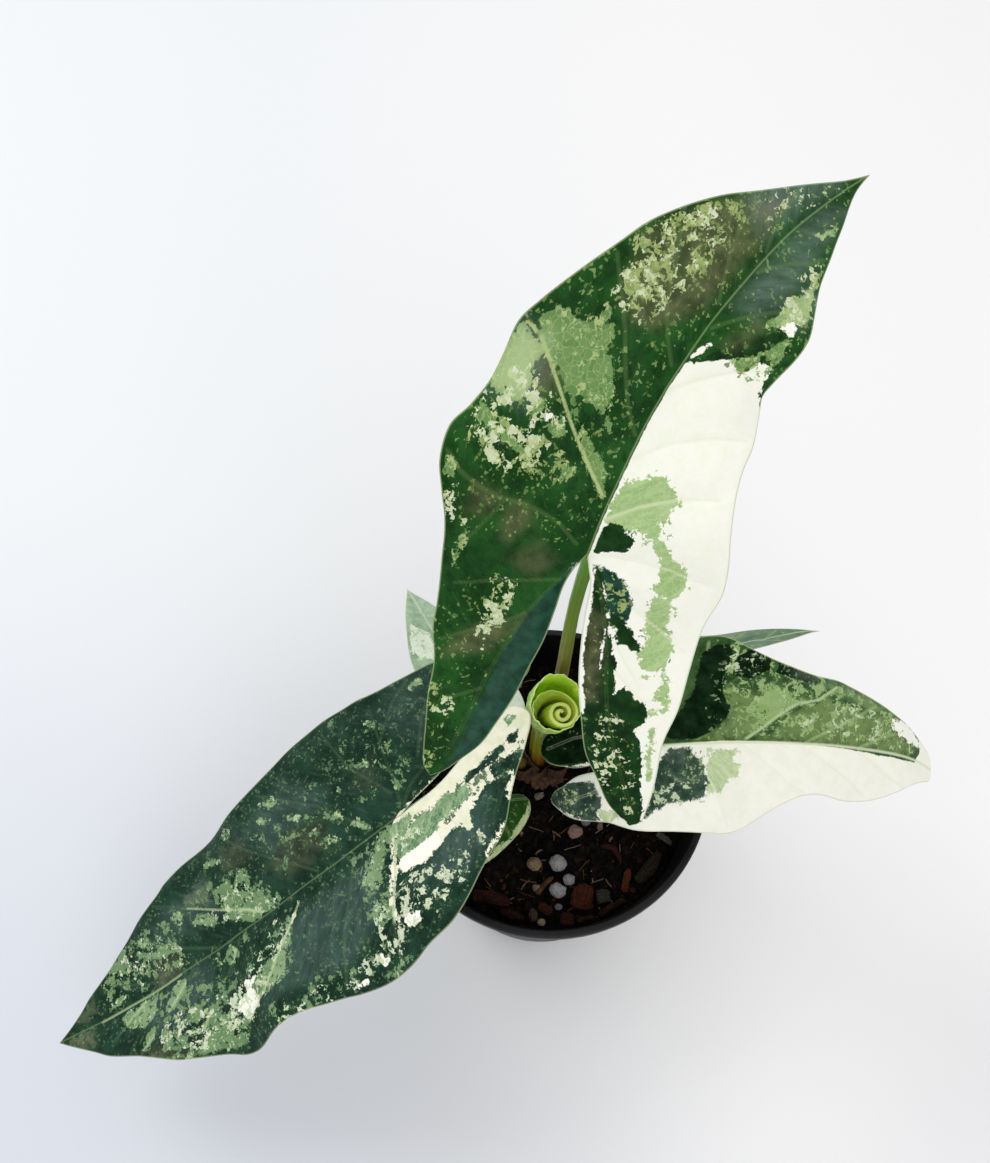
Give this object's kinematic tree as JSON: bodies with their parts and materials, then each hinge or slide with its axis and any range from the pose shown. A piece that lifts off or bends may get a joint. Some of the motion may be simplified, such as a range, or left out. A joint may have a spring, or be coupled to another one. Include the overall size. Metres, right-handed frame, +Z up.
{
  "type": "potted simpo alocasia",
  "caption": "Young alocasia with arrow-shaped leaves marbled in dark green, mint and cream, growing in a tapered black nursery pot of bark mix.",
  "frame": {"origin": "centre of the pot's flat base", "axes": "+Z up along the pot's axis, -Y towards the side from which the plant is seen in the picture, +X to that viewer's right"},
  "size_m": [0.3236, 0.2036, 0.2977],
  "materials": {
    "pot": "satin black injection-moulded plastic",
    "mix": "damp, dark composted bark and coir",
    "corm": "dry brown sheath fibre",
    "blade": "glossy leaf, dark green marbled with mint and cream",
    "blade_blue": "glossy leaf, blue-green marbled with mint and cream",
    "blade_pale": "glossy leaf, grey-green with cream",
    "stem": "smooth, slightly ribbed green stem",
    "roll": "lime green rolled leaf",
    "bark": "rough reddish-brown bark",
    "grain": "rough white perlite and pumice"
  },
  "bodies": {
    "root": {"nursery_pot": "pot", "potting_mix": "mix", "stem_base": "corm", "upper_leaf_blade": "blade", "upper_leaf_stem": "stem", "lower_left_leaf_blade": "blade_blue", "lower_left_leaf_stem": "stem", "right_leaf_blade": "blade_blue", "right_leaf_stem": "stem", "back_right_leaf_blade": "blade_pale", "back_right_leaf_stem": "stem", "back_left_leaf_blade": "blade_pale", "back_left_leaf_stem": "stem", "small_low_leaf_blade": "blade", "small_low_leaf_stem": "stem", "new_leaf_stem": "stem", "new_leaf_roll": "roll", "bark_chip_1": "bark", "bark_chip_2": "bark", "bark_chip_3": "bark", "bark_chip_4": "bark", "bark_chip_5": "bark", "bark_chip_6": "bark", "bark_chip_7": "bark", "bark_chip_8": "bark", "bark_chip_9": "bark", "bark_chip_10": "bark", "bark_chip_11": "bark", "bark_chip_12": "bark", "bark_chip_13": "bark", "bark_chip_14": "bark", "bark_chip_15": "bark", "bark_chip_16": "bark", "bark_chip_17": "bark", "bark_chip_18": "bark", "perlite_grain_1": "grain", "perlite_grain_2": "grain", "perlite_grain_3": "grain", "perlite_grain_4": "grain", "perlite_grain_5": "grain", "perlite_grain_6": "grain", "perlite_grain_7": "grain", "perlite_grain_8": "grain", "perlite_grain_9": "grain", "perlite_grain_10": "grain", "perlite_grain_11": "grain"}
  },
  "joints": []
}
